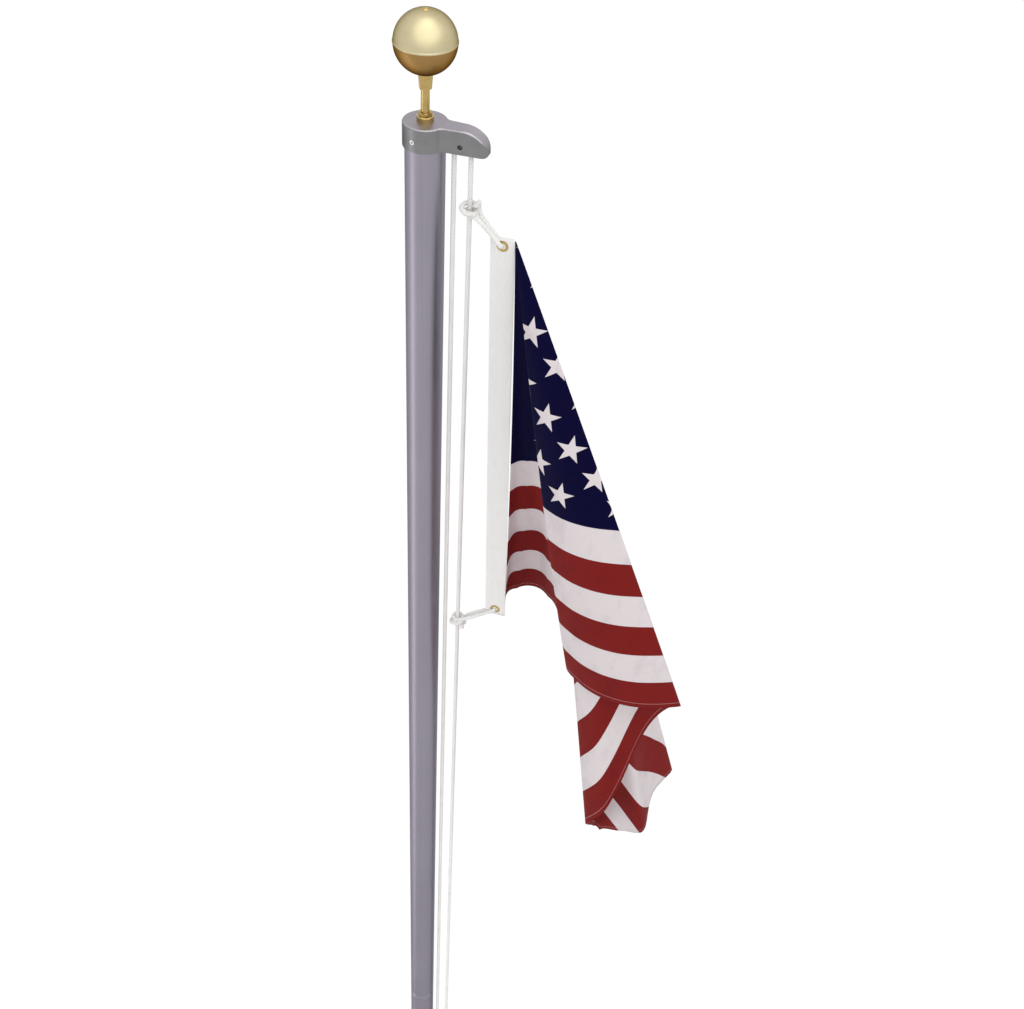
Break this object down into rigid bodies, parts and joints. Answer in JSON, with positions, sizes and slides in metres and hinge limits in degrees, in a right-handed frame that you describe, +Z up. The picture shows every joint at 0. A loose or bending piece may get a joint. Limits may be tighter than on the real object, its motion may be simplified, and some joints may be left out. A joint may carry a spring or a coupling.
{
  "type": "flagpole",
  "caption": "Sectional aluminium flagpole with a gold ball finial, a pulley truck, a rope halyard tied off on a cleat, and a flag hanging from grommets in its heading.",
  "frame": {"origin": "on the pole's axis at ground level, in the middle of the bottom tube's end face", "axes": "+Z up along the pole, +X out along the truck's arm towards the flag's hoist"},
  "size_m": [0.504, 0.4562, 5.6305],
  "materials": {
    "pole_aluminium": "satin",
    "cast_aluminium": "satin",
    "gold_metal": "satin",
    "brass": "satin",
    "steel": "satin",
    "sheave_plastic": "matte",
    "rope": "matte",
    "canvas": "matte",
    "flag_fabric": "matte"
  },
  "bodies": {
    "pole": {"bottom_section": "pole_aluminium", "middle_section": "pole_aluminium", "top_section": "pole_aluminium", "truck_body": "cast_aluminium", "set_screw": "steel", "sheave_pin": "steel", "ball_upper_half": "gold_metal", "ball_lower_half": "gold_metal", "ball_top_plug": "gold_metal", "ball_collar": "brass", "ball_spindle": "brass", "flange_nut": "brass", "jam_nut": "brass", "halyard": "rope", "cleat": "cast_aluminium", "cleat_screws": "steel", "cleat_hitch": "rope"},
    "sheave": {"sheave": "sheave_plastic"},
    "flag": {"flag_heading": "canvas", "flag_cloth": "flag_fabric", "upper_grommet": "brass", "lower_grommet": "brass", "upper_tie": "rope", "lower_tie": "rope"}
  },
  "joints": [
    {"name": "flag_hoist", "type": "slide", "parent": "pole", "child": "flag", "axis": [0, 0, -1], "range_m": [0, 3.1]},
    {"name": "sheave_turn", "type": "hinge", "parent": "pole", "child": "sheave", "pos_m": [0.0485, 0, 5.473], "axis": [0, 1, 0], "range_deg": [0, 17000]}
  ],
  "couplings": [
    {"joint": "sheave_turn", "follows": "flag_hoist", "rad_per_m": 92.593}
  ]
}
